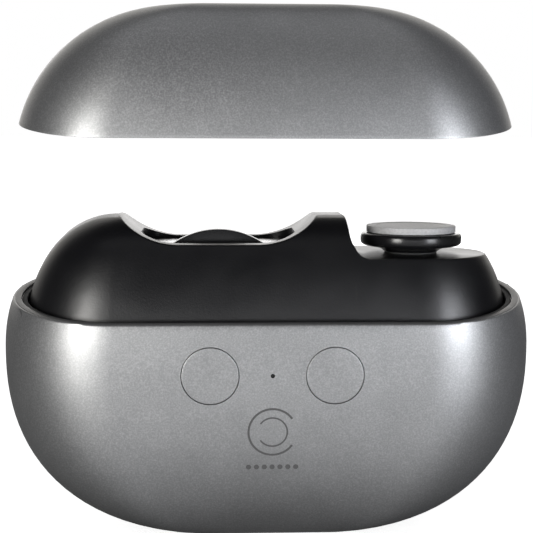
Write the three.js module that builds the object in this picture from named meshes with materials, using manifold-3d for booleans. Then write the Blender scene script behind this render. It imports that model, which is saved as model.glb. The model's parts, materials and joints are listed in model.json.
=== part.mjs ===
// Pod-shaped rotary shaver with a lift-off lid. Millimetres, +Z up, +X to the user's right,
// -Y towards the user. The origin is on the surface the pod stands on, under its middle.
//
// The casing is a pebble: every level section is a stadium (two straight sides, two round
// ends), and its half-length and half-depth follow one rounded profile from belt to foot and
// from belt to crown. The mouth of the casing is a plane that slopes down to the user.
import * as THREE from "three";
import { mergeVertices, mergeGeometries } from "three/addons/utils/BufferGeometryUtils.js";
import Module from "manifold-3d";

const wasm = await Module();
wasm.setup();

// ---------------------------------------------------------------- driving dimensions
const END_LENGTH = 1.1; // length of a stadium's rounded end over its half-depth
const END_STEPS = 11; // facets round each end of a stadium
const GAP = 0.12; // assembly gap between neighbouring mouldings
const FLOOR = 0.4; // underside of the casing above the surface, the foot makes the rest

// round is the exponent of a profile: 2 is an ellipse, and more is squarer.
const POD = { halfLength: 55.0, halfDepth: 22.0, beltZ: 38.3, wall: 2.0, round: 2.3 };
const POD_FLAT = { halfLength: 15.0, halfDepth: 7.5 }; // flat part of the underside
const POD_CROWN = 30.4; // height of the profile above the belt, if it weren't cut at the mouth

const MOUTH = { z: 50.35, slope: Math.tan(THREE.MathUtils.degToRad(10.1)) };
const RING = { lip: 0.2, width: 1.65, height: 1.3 };
const GASKET = { outer: 1.8, inner: 2.8, drop: 0.4, height: 0.9, slit: 0.22 };

const LID = { halfLength: 52.0, halfDepth: 19.6, below: 9.2, height: 23.2, wall: 0.6, round: 2.05 };
const LID_FLAT = { halfLength: 18.9, halfDepth: 7.0 };
const LID_SEAT_Z = 50.05; // height of the closed lid's rim at the ends of the pod
const LID_LIFT = 35.75; // how far the lid is held above its seat
const LID_SHIFT = -0.4; // how far it is held to the left of its seat

const DECK = { halfLength: 50.7, halfDepth: 17.5, centreZ: 40.5, topZ: 66.6, skirtZ: 43.0, wall: 1.6, round: 2.1 };
const DECK_FLAT = { halfLength: 31.2, halfDepth: 4.3 };
const VALLEY = { x: -10.5, floorZ: 61.2, flatHalf: 8.0, radius: 16.3, rimZ: 66.1 };
const SHELF = { z: 58.4, crestX: 15.3, footX: 16.2, fillet: 3.4 };

const POCKET = { halfLength: 15.8, y0: -9.2, y1: 9.2, corner: 5.0, floorZ: 60.55 };
const WHEEL = { x: VALLEY.x, z: 47.2, radius: 16.4, y0: -4.4, y1: -1.8 };
const CUTTER = { radius: 13.6, inner: 12.5, y0: -1.6, y1: 4.4, teeth: 24 };
const FOIL = { inner: 13.85, outer: 14.1, y0: -1.5, y1: 5.6, halfAngle: 0.53 };
const AXLE = 1.5;
const BORE = AXLE + 0.05; // running bore on an axle

const HEAD = { x: 30.2, padRadius: 9.35, padTop: 64.15, padBottom: 62.75, collarRadius: 10.6 };
const MOTOR = { radius: 7.75, length: 18.0, bell: 2.4, shaft: 1.0 };

const MODULE = 0.7;
const TEETH = { wheel: 28, idler: 20, pinion: 10 };
const MOTOR_DROP = 24.6; // the wheel motor's axis below the wheel's axis
const GEAR_Y = { y0: 9.7, y1: 12.5 };

const PLATE = { frontY: -7.2, rearY: 7.5, thick: 1.6, bottomZ: 31, topZ: 57.9 };
const BUTTON = { x: 12.2, z: 36.5, radius: 5.6, thick: 1.7, travel: 0.6 };
const POST_X = 43.0;
const POST_RADIUS = 3.5;
const SCREW_SEAT_Z = 15.0;
const BOARD_Z = 13.2; // underside of the main board
const SOCKET_Z = BOARD_Z + 1.0 + 1.7;

// ---------------------------------------------------------------- materials
const paint = (color, roughness, metalness) => new THREE.MeshStandardMaterial({ color, roughness, metalness });
const silverPaint = paint(0x8d9196, 0.38, 0.75);
const darkRing = paint(0x4a4b4d, 0.45, 0.3);
const blackDeck = paint(0x17181a, 0.42, 0.1);
const blackGloss = paint(0x101114, 0.25, 0.1);
const greyPad = paint(0x9fa2a4, 0.7, 0.0);
const rubber = paint(0x2a2a2b, 0.85, 0.0);
const steel = paint(0xb9bcc0, 0.3, 1.0);
const bronze = paint(0xa9763a, 0.4, 1.0);
const frameGrey = paint(0x55595e, 0.6, 0.1);
const acetal = paint(0xe6e3d8, 0.55, 0.0);
const boardGreen = paint(0x1c5a38, 0.5, 0.1);
const cellBlue = paint(0x2b4f8f, 0.45, 0.1);
const lightPipe = paint(0x202225, 0.2, 0.0);

// ---------------------------------------------------------------- solids
// A geometry as a manifold solid: shared vertices merged, collapsed triangles dropped.
function solid(geometry) {
  const bare = (geometry.index ? geometry.toNonIndexed() : geometry).clone();
  bare.deleteAttribute("normal");
  bare.deleteAttribute("uv");
  const merged = mergeVertices(bare, 1e-4);
  const index = merged.index.array;
  const kept = [];
  for (let i = 0; i < index.length; i += 3) {
    const [a, b, c] = [index[i], index[i + 1], index[i + 2]];
    if (a !== b && b !== c && c !== a) kept.push(a, b, c);
  }
  return new wasm.Manifold(
    new wasm.Mesh({
      numProp: 3,
      vertProperties: merged.attributes.position.array,
      triVerts: new Uint32Array(kept),
    }),
  );
}

function geometryOf(manifold) {
  const mesh = manifold.getMesh();
  const positions = new Float32Array(mesh.numVert * 3);
  for (let i = 0; i < mesh.numVert; i++) {
    positions.set(mesh.vertProperties.subarray(i * mesh.numProp, i * mesh.numProp + 3), i * 3);
  }
  const geometry = new THREE.BufferGeometry();
  geometry.setAttribute("position", new THREE.BufferAttribute(positions, 3));
  geometry.setIndex(new THREE.BufferAttribute(new Uint32Array(mesh.triVerts), 1));
  geometry.computeVertexNormals();
  return geometry;
}

const cut = (body, ...tools) => tools.reduce((left, tool) => left.subtract(tool), body);
const join = (body, ...others) => others.reduce((whole, other) => whole.add(other), body);

// Width of a rounded profile at height v: 1 at the belt, v 0, and 0 at the crown, v 1.
const rounded = (v, round) => Math.pow(Math.max(0, 1 - Math.pow(Math.min(1, Math.abs(v)), round)), 1 / round);

const between = (flat, full, share) => flat + (full - flat) * share;

// Stadium outline, counter-clockwise from the right end's front corner.
function stadium(halfLength, halfDepth, steps = END_STEPS) {
  const endLength = END_LENGTH * halfDepth;
  const straight = Math.max(halfLength - endLength, 0.01);
  const points = [];
  for (const side of [1, -1]) {
    for (let i = 0; i <= steps; i++) {
      const angle = -Math.PI / 2 + (Math.PI * i) / steps + (side < 0 ? Math.PI : 0);
      points.push([side * straight + endLength * Math.cos(angle), halfDepth * Math.sin(angle)]);
    }
  }
  return points;
}

// A closed body through level convex outlines with the same number of points.
function loft(levels) {
  const rings = levels.map(({ z, outline }) => outline.map(([x, y]) => new THREE.Vector3(x, y, z)));
  const count = rings[0].length;
  const triangles = [];
  for (let level = 0; level + 1 < rings.length; level++) {
    for (let i = 0; i < count; i++) {
      const next = (i + 1) % count;
      const [a, b] = [rings[level][i], rings[level][next]];
      const [c, d] = [rings[level + 1][i], rings[level + 1][next]];
      triangles.push(a, b, d, a, d, c);
    }
  }
  const top = rings[rings.length - 1];
  for (let i = 1; i + 1 < count; i++) {
    triangles.push(rings[0][0], rings[0][i + 1], rings[0][i]);
    triangles.push(top[0], top[i], top[i + 1]);
  }
  return solid(new THREE.BufferGeometry().setFromPoints(triangles));
}

// Levels of a profile between two heights, closer together towards the crown.
function levels(from, to, count, sectionAt) {
  const list = [];
  for (let i = 0; i <= count; i++) {
    const z = from + (to - from) * Math.sin((Math.PI / 2) * (i / count));
    const { halfLength, halfDepth } = sectionAt(z);
    list.push({ z, outline: stadium(halfLength, halfDepth) });
  }
  return list;
}

// Section of the casing at a height, moved in by inset all round.
function podSection(z, inset = 0) {
  const span = z < POD.beltZ ? POD.beltZ - FLOOR - inset : POD_CROWN - inset;
  const share = rounded((z - POD.beltZ) / span, POD.round);
  return {
    halfLength: between(POD_FLAT.halfLength, POD.halfLength - inset, share),
    halfDepth: between(POD_FLAT.halfDepth, POD.halfDepth - inset, share),
  };
}

function podBody(inset = 0) {
  const bottom = FLOOR + inset;
  const down = levels(POD.beltZ, bottom, 9, (z) => podSection(z, inset)).reverse();
  const up = levels(POD.beltZ, POD.beltZ + 18, 4, (z) => podSection(z, inset)).slice(1);
  return loft([...down, ...up]);
}

// Straight-sided prism inside the sloping mouth, in from the rim's outline by inset.
function mouthPrism(inset, z0, z1) {
  const outline = stadium(2, 1).map((start, i) => {
    let point = start;
    for (let pass = 0; pass < 5; pass++) {
      const { halfLength, halfDepth } = podSection(MOUTH.z + point[1] * MOUTH.slope);
      point = stadium(halfLength - inset, halfDepth - inset)[i];
    }
    return point;
  });
  return loft([{ z: z0, outline }, { z: z1, outline }]);
}

function lidSection(z, inset = 0) {
  const share = rounded((z + LID.below) / (LID.height + LID.below - inset), LID.round);
  return {
    halfLength: between(LID_FLAT.halfLength, LID.halfLength - inset, share),
    halfDepth: between(LID_FLAT.halfDepth, LID.halfDepth - inset, share),
  };
}

function lidBody(inset = 0) {
  return loft(levels(-6, LID.height - inset, 12, (z) => lidSection(z, inset)));
}

function deckSection(z, inset = 0) {
  const share = rounded((z - DECK.centreZ) / (DECK.topZ - inset - DECK.centreZ), DECK.round);
  return {
    halfLength: between(DECK_FLAT.halfLength, DECK.halfLength - inset, share),
    halfDepth: between(DECK_FLAT.halfDepth, DECK.halfDepth - inset, share),
  };
}

function deckBody(inset, bottom) {
  return loft(levels(bottom, DECK.topZ - inset, 12, (z) => deckSection(z, inset)));
}

// Everything above (side 1) or below (side -1) the mouth's sloping plane, moved along Z.
function mouthHalf(side, offset) {
  const block = new THREE.BoxGeometry(160, 160, 90).translate(0, 0, 45 * side);
  block.rotateX(Math.atan(MOUTH.slope));
  return solid(block.translate(0, 0, MOUTH.z + offset));
}

const box = (x0, x1, y0, y1, z0, z1) =>
  solid(
    new THREE.BoxGeometry(x1 - x0, y1 - y0, z1 - z0).translate((x0 + x1) / 2, (y0 + y1) / 2, (z0 + z1) / 2),
  );

// A turned body about Z: profile points are [radius, z], from first to last round the section.
function turned(profile, segments = 32) {
  const points = profile.map(([r, z]) => new THREE.Vector2(Math.max(r, 0), z));
  if (THREE.ShapeUtils.area(points) < 0) points.reverse();
  if (profile[0][0] > 0 || profile[profile.length - 1][0] > 0) points.push(points[0].clone());
  const made = solid(new THREE.LatheGeometry(points, segments).rotateX(Math.PI / 2));
  return made.volume() > 0 ? made : solid(flipped(new THREE.LatheGeometry(points, segments).rotateX(Math.PI / 2)));
}

function flipped(geometry) {
  const index = geometry.index.array;
  for (let i = 0; i < index.length; i += 3) [index[i], index[i + 1]] = [index[i + 1], index[i]];
  return geometry;
}

const rod = (radius, z0, z1, segments = 16) => turned([[0, z0], [radius, z0], [radius, z1], [0, z1]], segments);
const tube = (inner, outer, z0, z1, segments = 20) =>
  turned([[inner, z0], [outer, z0], [outer, z1], [inner, z1]], segments);

// A body made about Z, laid along Y: its z becomes y and its y becomes -z.
const alongY = (body) => solid(geometryOf(body).rotateX(-Math.PI / 2));

// A flat outline of [x, z] points, extruded from y0 to y1.
function slab(outline, y0, y1, holes = []) {
  const shape = new THREE.Shape(outline.map(([x, z]) => new THREE.Vector2(x, z)));
  for (const { x, z, radius, segments = 24 } of holes) {
    const ring = [];
    for (let i = 0; i < segments; i++) {
      const angle = (-2 * Math.PI * i) / segments;
      ring.push(new THREE.Vector2(x + radius * Math.cos(angle), z + radius * Math.sin(angle)));
    }
    shape.holes.push(new THREE.Path(ring));
  }
  const geometry = new THREE.ExtrudeGeometry(shape, { depth: y1 - y0, bevelEnabled: false, steps: 1 });
  return solid(geometry.rotateX(Math.PI / 2).translate(0, y1, 0));
}

function roundedRect(x0, x1, z0, z1, radius, steps = 4) {
  const points = [];
  const corners = [[x1 - radius, z0 + radius, -90], [x1 - radius, z1 - radius, 0],
    [x0 + radius, z1 - radius, 90], [x0 + radius, z0 + radius, 180]];
  for (const [cx, cz, start] of corners) {
    for (let i = 0; i <= steps; i++) {
      const angle = THREE.MathUtils.degToRad(start + (90 * i) / steps);
      points.push([cx + radius * Math.cos(angle), cz + radius * Math.sin(angle)]);
    }
  }
  return points;
}

// A level outline of [x, y] points, extruded from z0 to z1.
const plate = (outline, z0, z1) =>
  solid(
    new THREE.ExtrudeGeometry(new THREE.Shape(outline.map(([x, y]) => new THREE.Vector2(x, y))), {
      depth: z1 - z0,
      bevelEnabled: false,
    }).translate(0, 0, z0),
  );

// ---------------------------------------------------------------- the model tree
const part = new THREE.Group();
const lid = new THREE.Group();
lid.position.set(LID_SHIFT, 0, LID_SEAT_Z + LID_LIFT);
part.add(lid);

function add(name, body, material, place = [0, 0, 0], parent = part) {
  const mesh = new THREE.Mesh(geometryOf(body), material);
  mesh.name = name;
  mesh.position.set(...place);
  parent.add(mesh);
}

// ---------------------------------------------------------------- casing
const podOuter = podBody();

function baseShell() {
  const hollow = podBody(POD.wall);
  let shell = cut(podOuter, hollow, mouthHalf(1, 0));
  // The dark trim ring lies in a step just inside the rim's thin lip.
  const step = cut(mouthPrism(RING.lip - 0.02, 40, 56), mouthHalf(-1, -RING.height - 0.05));
  shell = cut(shell, step);
  const posts = [-1, 1].map((side) => rod(POST_RADIUS, 6, 30).translate(side * POST_X, 0, 0));
  const insidePosts = posts.map((post) => post.intersect(podBody(0.6)));
  shell = join(shell, ...insidePosts);
  for (const side of [-1, 1]) {
    shell = cut(shell, rod(2.4, -1, SCREW_SEAT_Z).translate(side * POST_X, 0, 0));
    shell = cut(shell, rod(1.2, 5, 32).translate(side * POST_X, 0, 0));
    const hole = alongY(rod(BUTTON.radius + GAP, 12, 26, 32));
    shell = cut(shell, hole.translate(side * BUTTON.x, -38, BUTTON.z));
  }
  shell = cut(shell, alongY(rod(0.36, 12, 26, 12)).translate(0, -38, BUTTON.z));
  shell = cut(shell, slab(roundedRect(-4.7, 4.7, SOCKET_Z - 1.8, SOCKET_Z + 1.8, 1.6), 12, 24));
  return cut(shell, loft(footLevels(GAP, -1, FLOOR + 1.0)));
}

const footLevels = (grow, z0, z1) => [z0, z1].map((z) => ({ z, outline: stadium(14.0 + grow, 5.8 + grow) }));

function rimRing() {
  const outer = mouthPrism(RING.lip + 0.1, 40, 56);
  const band = cut(outer, mouthPrism(RING.width, 39, 57));
  return cut(band, mouthHalf(1, -0.03), mouthHalf(-1, -RING.height));
}

function rimGasket() {
  const band = cut(mouthPrism(GASKET.outer, 40, 56), mouthPrism(GASKET.inner, 39, 57));
  const ring = cut(band, mouthHalf(1, -GASKET.drop), mouthHalf(-1, -GASKET.drop - GASKET.height));
  return cut(ring, box(-60, -40, -GASKET.slit / 2, GASKET.slit / 2, 40, 56));
}

add("base_shell", baseShell(), silverPaint);
add("rim_ring", rimRing(), darkRing);
add("rim_gasket", rimGasket(), rubber);
add("base_foot", loft(footLevels(0, 0, FLOOR + 0.9)), rubber);
add("lid_shell", cut(lidBody(), lidBody(LID.wall), mouthHalf(-1, -MOUTH.z)), silverPaint, [0, 0, 0], lid);

// ---------------------------------------------------------------- deck
// The hollow in the deck's top that runs from front to back, deepened by offset.
function valleyTool(offset) {
  const radius = VALLEY.radius + offset;
  const centreZ = VALLEY.floorZ + VALLEY.radius;
  const last = Math.acos((centreZ - VALLEY.rimZ) / VALLEY.radius);
  const points = [];
  for (const side of [1, -1]) {
    const arc = [];
    for (let i = 0; i <= 7; i++) {
      const angle = (last * i) / 7;
      const out = VALLEY.flatHalf + radius * Math.sin(angle);
      arc.push([VALLEY.x + side * out, centreZ - radius * Math.cos(angle)]);
    }
    const [edgeX, edgeZ] = arc[arc.length - 1];
    arc.push([edgeX + side * 0.5, edgeZ + 0.35], [edgeX + side * 1.3, edgeZ + 0.6]);
    arc.push([edgeX + side * 1.3, 90]);
    points.push(...(side > 0 ? arc : arc.reverse()));
  }
  return slab(points, -30, 30);
}

// The step down to the flat shelf on the right, deepened by offset.
function shelfTool(offset) {
  const floor = SHELF.z - offset;
  const wallX = SHELF.crestX - offset;
  const footX = SHELF.footX - offset;
  const points = [[wallX, 90], [wallX, DECK.topZ + 0.2], [wallX + 0.2, DECK.topZ - 0.35], [wallX + 0.35, DECK.topZ - 1.2],
    [wallX + 0.72, DECK.topZ - 3.9], [wallX + 1.05, DECK.topZ - 5.1]];
  const centre = [footX + SHELF.fillet + 0.5, floor + SHELF.fillet];
  for (let i = 0; i <= 5; i++) {
    const angle = THREE.MathUtils.degToRad(200 + (70 * i) / 5);
    points.push([centre[0] + SHELF.fillet * Math.cos(angle), centre[1] + SHELF.fillet * Math.sin(angle)]);
  }
  points.push([70, floor], [70, 90]);
  return slab(points, -30, 30);
}

const pocketOutline = (grow) =>
  roundedRect(VALLEY.x - POCKET.halfLength - grow, VALLEY.x + POCKET.halfLength + grow,
    POCKET.y0 - grow, POCKET.y1 + grow, POCKET.corner + grow, 5);

function deckHousing() {
  const skin = cut(deckBody(0, DECK.skirtZ), valleyTool(0), shelfTool(0));
  const hollow = cut(deckBody(DECK.wall, DECK.skirtZ - 2), valleyTool(DECK.wall), shelfTool(DECK.wall));
  let housing = cut(skin, hollow, plate(pocketOutline(0), 50, 80));
  // A flange under the gasket carries the deck on the casing.
  const flange = cut(mouthPrism(POD.wall + 0.35, 40, 56), mouthPrism(4.9, 39, 57));
  const flangeBand = cut(flange, mouthHalf(1, -GASKET.drop - GASKET.height - 0.1), mouthHalf(-1, -3.8));
  housing = join(housing, flangeBand);
  for (const x of [-POST_X, POST_X]) {
    const upper = rod(2.6, 46, 70).translate(x, 0, 0).intersect(deckBody(0.5, DECK.skirtZ));
    housing = join(housing, cut(upper, shelfTool(0.5)), rod(2.6, 30.2, 47).translate(x, 0, 0));
    housing = cut(housing, rod(0.95, 29, 40).translate(x, 0, 0));
  }
  // Two ribs hang from the roof and hold the drive frame between them.
  for (const x of [-32.2 - DECK.wall, 11.2]) {
    const rib = box(x, x + DECK.wall, PLATE.frontY, PLATE.rearY + PLATE.thick, 50, 75);
    housing = join(housing, cut(rib.intersect(deckBody(0.4, DECK.skirtZ)), valleyTool(0.4)));
  }
  // The boss that holds the spindle's bush hangs under the shelf.
  housing = join(housing, rod(5.2, 51.5, SHELF.z - 1.0).translate(HEAD.x, 0, 0));
  return cut(housing, rod(3.4, 50, 70).translate(HEAD.x, 0, 0));
}

function wheelTray() {
  const flange = plate(pocketOutline(1.0), 58.2, 59.45);
  const floor = plate(pocketOutline(-GAP), 59.3, POCKET.floorZ);
  const discSlot = alongY(rod(WHEEL.radius + 0.35, WHEEL.y0 - 0.15, WHEEL.y1 + 0.3, 64));
  const ringSlot = alongY(rod(FOIL.outer + 0.2, WHEEL.y1 + 0.2, FOIL.y1 + 0.2, 64));
  return cut(join(floor, flange), discSlot.translate(WHEEL.x, 0, WHEEL.z), ringSlot.translate(WHEEL.x, 0, WHEEL.z));
}

function shavingFoil() {
  const outline = [];
  for (const [radius, direction] of [[FOIL.outer, 1], [FOIL.inner, -1]]) {
    for (let i = 0; i <= 12; i++) {
      const angle = Math.PI / 2 - direction * FOIL.halfAngle * (1 - i / 6);
      outline.push([radius * Math.cos(angle), radius * Math.sin(angle)]);
    }
  }
  let foil = slab(outline, FOIL.y0, FOIL.y1);
  for (let i = -3; i <= 3; i++) {
    const slot = box(-0.35, 0.35, FOIL.y0 + 1.0, FOIL.y1 - 1.0, 12, 15).translate(0, 0, 0);
    foil = cut(foil, solid(geometryOf(slot).rotateY(i * 0.125)));
  }
  return foil;
}

add("deck_housing", deckHousing(), blackDeck);
add("wheel_tray", wheelTray(), blackDeck);
add("shaving_foil", shavingFoil(), steel, [WHEEL.x, 0, WHEEL.z]);
add("spindle_bush", tube(BORE, 3.3, 52.0, 57.9), bronze, [HEAD.x, 0, 0]);
add("spindle_seal", tube(3.55, 5.5, SHELF.z + 0.03, SHELF.z + 0.25), rubber, [HEAD.x, 0, 0]);

// ---------------------------------------------------------------- buttons and light
const outlineSkin = cut(podOuter, podBody(BUTTON.thick));

// A cap cut from the casing's own curve, with a stem towards its switch.
function buttonCap(side) {
  const core = alongY(rod(BUTTON.radius, 8, 26, 32)).translate(side * BUTTON.x, -38, BUTTON.z);
  const cap = outlineSkin.intersect(core);
  const stem = alongY(rod(1.6, -21.4, -17.65, 16)).translate(side * BUTTON.x, 0, BUTTON.z);
  return join(cap, stem);
}

const buttonBoardY = -16.2;
for (const [side, label] of [[-1, "left"], [1, "right"]]) {
  add(label + "_button", buttonCap(side), silverPaint);
  const x = side * BUTTON.x;
  const tactSwitch = box(-2.3, 2.3, buttonBoardY - 0.75, buttonBoardY - 0.05, -2.3, 2.3);
  add(label + "_switch", tactSwitch, steel, [x, 0, BUTTON.z]);
}
add("button_board", slab(roundedRect(-19, 19, 30.5, 42.5, 1.5, 3), buttonBoardY, buttonBoardY + 1.0), boardGreen);
add("status_light", alongY(rod(0.28, -22.15, buttonBoardY - 0.05, 10)), lightPipe, [0, 0, BUTTON.z]);

// ---------------------------------------------------------------- gears
// Involute spur gear about Z, with a tooth centred at angle phase.
function gear(teeth, phase, z0, z1, bore, hubRadius = 0, hubTop = z1) {
  const pitch = (MODULE * teeth) / 2;
  const pressure = THREE.MathUtils.degToRad(20);
  const base = pitch * Math.cos(pressure);
  const involute = (angle) => Math.tan(angle) - angle;
  const backlash = 0.1;
  const halfAtPitch = Math.PI / (2 * teeth) - backlash / (2 * pitch);
  const halfAt = (radius) => {
    const safe = Math.max(radius, base);
    return halfAtPitch + involute(pressure) - involute(Math.acos(base / safe));
  };
  const radii = [pitch - 1.3 * MODULE, pitch, pitch + 0.9 * MODULE];
  const outline = [];
  for (let tooth = 0; tooth < teeth; tooth++) {
    const centre = phase + (2 * Math.PI * tooth) / teeth;
    for (const radius of radii) outline.push([radius, centre - halfAt(radius)]);
    for (const radius of [...radii].reverse()) outline.push([radius, centre + halfAt(radius)]);
  }
  const shape = outline.map(([radius, angle]) => [radius * Math.cos(angle), radius * Math.sin(angle)]);
  let body = plate(shape, z0, z1);
  if (hubRadius) body = join(body, rod(hubRadius, z0, hubTop));
  return cut(body, rod(bore, z0 - 1, hubTop + 1));
}

// Turns a gear made about Z so that it lies along Y with its angles kept in the XZ plane.
const gearAlongY = (body) => solid(geometryOf(body).rotateX(Math.PI / 2).translate(0, GEAR_Y.y0 + GEAR_Y.y1, 0));

const pitchOf = (teeth) => (MODULE * teeth) / 2;
const wheelCentre = [WHEEL.x, WHEEL.z];
const motorCentre = [WHEEL.x, WHEEL.z - MOTOR_DROP];
const toWheel = pitchOf(TEETH.wheel) + pitchOf(TEETH.idler);
const toMotor = pitchOf(TEETH.idler) + pitchOf(TEETH.pinion);
const idlerDrop = (toWheel ** 2 - toMotor ** 2 + MOTOR_DROP ** 2) / (2 * MOTOR_DROP);
const idlerSide = Math.sqrt(toWheel ** 2 - idlerDrop ** 2);
const idlerCentre = [WHEEL.x - idlerSide, WHEEL.z - idlerDrop];

// Phase that puts gear B in mesh with gear A, whose own phase is known.
function meshPhase(centreA, teethA, phaseA, centreB, teethB) {
  const line = Math.atan2(centreB[1] - centreA[1], centreB[0] - centreA[0]);
  const turn = 2 * Math.PI;
  const offA = ((phaseA - line) * teethA) / turn;
  return line + Math.PI + ((0.5 - offA) * turn) / teethB;
}

const wheelPhase = 0;
const idlerPhase = meshPhase(wheelCentre, TEETH.wheel, wheelPhase, idlerCentre, TEETH.idler);
const pinionPhase = meshPhase(idlerCentre, TEETH.idler, idlerPhase, motorCentre, TEETH.pinion);
const at = ([x, z]) => [x, 0, z];

add("wheel_gear", gearAlongY(gear(TEETH.wheel, wheelPhase, GEAR_Y.y0, GEAR_Y.y1, BORE)), acetal, at(wheelCentre));
add("idler_gear", gearAlongY(gear(TEETH.idler, idlerPhase, GEAR_Y.y0, GEAR_Y.y1, 1.05)), acetal, at(idlerCentre));
add("motor_pinion", gearAlongY(gear(TEETH.pinion, pinionPhase, GEAR_Y.y0, GEAR_Y.y1, MOTOR.shaft + 0.03)), bronze, at(motorCentre));

// ---------------------------------------------------------------- rotary wheel
function cutterRing() {
  let ring = tube(CUTTER.inner, CUTTER.radius, CUTTER.y0, CUTTER.y1, 48);
  for (let i = 0; i < CUTTER.teeth; i++) {
    const notch = box(-0.45, 0.45, CUTTER.radius - 0.6, CUTTER.radius + 1, CUTTER.y0 + 0.8, CUTTER.y1 - 0.8);
    ring = cut(ring, solid(geometryOf(notch).rotateZ((2 * Math.PI * i) / CUTTER.teeth)));
  }
  return alongY(ring);
}

const guideDisc = turned(
  [[BORE, WHEEL.y0], [WHEEL.radius - 0.35, WHEEL.y0], [WHEEL.radius, WHEEL.y0 + 0.35],
    [WHEEL.radius, WHEEL.y1 - 0.35], [WHEEL.radius - 0.35, WHEEL.y1], [BORE, WHEEL.y1]], 48);
const hub = turned(
  [[BORE, CUTTER.y0], [CUTTER.inner - 0.08, CUTTER.y0], [CUTTER.inner - 0.08, CUTTER.y1 + 0.1],
    [CUTTER.radius - 0.6, CUTTER.y1 + 0.1], [CUTTER.radius - 0.6, CUTTER.y1 + 1.0], [4.0, CUTTER.y1 + 1.0],
    [4.0, 6.8], [BORE, 6.8]], 32);

add("guide_disc", alongY(guideDisc), blackGloss, at(wheelCentre));
add("cutter_ring", cutterRing(), steel, at(wheelCentre));
add("wheel_hub", alongY(hub), blackDeck, at(wheelCentre));
add("wheel_axle", alongY(rod(AXLE, -9.6, 13.0)), steel, at(wheelCentre));

// ---------------------------------------------------------------- drive frame
const pillarSpots = [[-29, 34], [-29, 52], [8, 34], [8, 52]];
const pillarHoles = pillarSpots.map(([x, z]) => ({ x, z, radius: 1.15, segments: 12 }));
const bushHole = { x: WHEEL.x, z: WHEEL.z, radius: 2.75 };
const motorHole = { x: motorCentre[0], z: motorCentre[1], radius: 2.2 };
const idlerHole = { x: idlerCentre[0], z: idlerCentre[1], radius: 1.05, segments: 16 };
const rearOutline = [[-32, 31], [-21, 15.3], [0, 15.3], [11, 31], [11, PLATE.topZ], [-32, PLATE.topZ]];

add("front_plate", slab(roundedRect(-32, 11, PLATE.bottomZ, PLATE.topZ, 3), PLATE.frontY, PLATE.frontY + PLATE.thick, [...pillarHoles, bushHole]), frameGrey);
add("rear_plate", slab(rearOutline, PLATE.rearY, PLATE.rearY + PLATE.thick, [...pillarHoles, bushHole, motorHole, idlerHole]), frameGrey);
const bush = alongY(tube(BORE, 2.7, 0, PLATE.thick));
add("front_bush", bush, bronze, [WHEEL.x, PLATE.frontY, WHEEL.z]);
add("rear_bush", bush, bronze, [WHEEL.x, PLATE.rearY, WHEEL.z]);
add("idler_pin", alongY(join(rod(1.0, 7.55, 13.0, 16), rod(1.7, 12.65, 13.2, 16))), steel, at(idlerCentre));

const pillar = alongY(tube(0.95, 1.9, PLATE.frontY + PLATE.thick + 0.05, PLATE.rearY - 0.05, 12));
const pillarScrew = alongY(
  join(rod(0.85, PLATE.frontY - 0.9, 0, 12), rod(1.9, PLATE.frontY - 1.3, PLATE.frontY - 0.05, 12)));
pillarSpots.forEach(([x, z], i) => {
  add("frame_pillar_" + (i + 1), pillar, steel, [x, 0, z]);
  add("frame_screw_" + (i + 1), pillarScrew, steel, [x, 0, z]);
});

// ---------------------------------------------------------------- motors
// A small brushed motor about Z, its face at z 0 and its can below; the shaft is its own piece.
const motorCan = turned(
  [[1.15, 0], [3.0, 0], [3.0, -0.8], [MOTOR.radius - 0.6, -0.8], [MOTOR.radius, -1.4],
    [MOTOR.radius, -MOTOR.length], [1.15, -MOTOR.length]], 24);
const motorBell = turned(
  [[0, -MOTOR.length - MOTOR.bell], [MOTOR.radius - 1.2, -MOTOR.length - MOTOR.bell],
    [MOTOR.radius - 0.3, -MOTOR.length - MOTOR.bell + 0.8], [MOTOR.radius - 0.3, -MOTOR.length - 0.05],
    [0, -MOTOR.length - 0.05]], 24);
const wheelMotorY = PLATE.rearY - 0.05;
add("wheel_motor", alongY(motorCan), steel, [motorCentre[0], wheelMotorY, motorCentre[1]]);
add("wheel_motor_cap", alongY(motorBell), frameGrey, [motorCentre[0], wheelMotorY, motorCentre[1]]);
add("wheel_motor_shaft", alongY(rod(MOTOR.shaft, -10.4, 13.0, 16)), steel, at(motorCentre));

const headMotorZ = 39.6;
add("head_motor", motorCan, steel, [HEAD.x, 0, headMotorZ]);
add("head_motor_cap", motorBell, frameGrey, [HEAD.x, 0, headMotorZ]);
add("head_motor_shaft", rod(MOTOR.shaft, headMotorZ - MOTOR.length + 0.1, 45.0, 16), steel, [HEAD.x, 0, 0]);

// The cup hangs the head motor from the boss under the shelf; its neck clears the coupler.
const cupBody = turned(
  [[3.9, 51.3], [5.2, 51.3], [5.2, 41.6], [MOTOR.radius + 1.0, 39.8], [MOTOR.radius + 1.0, 28],
    [MOTOR.radius + 0.15, 28], [MOTOR.radius + 0.15, 38.95], [3.9, 38.95]], 24);
add("head_motor_cup", cupBody, frameGrey, [HEAD.x, 0, 0]);

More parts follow.
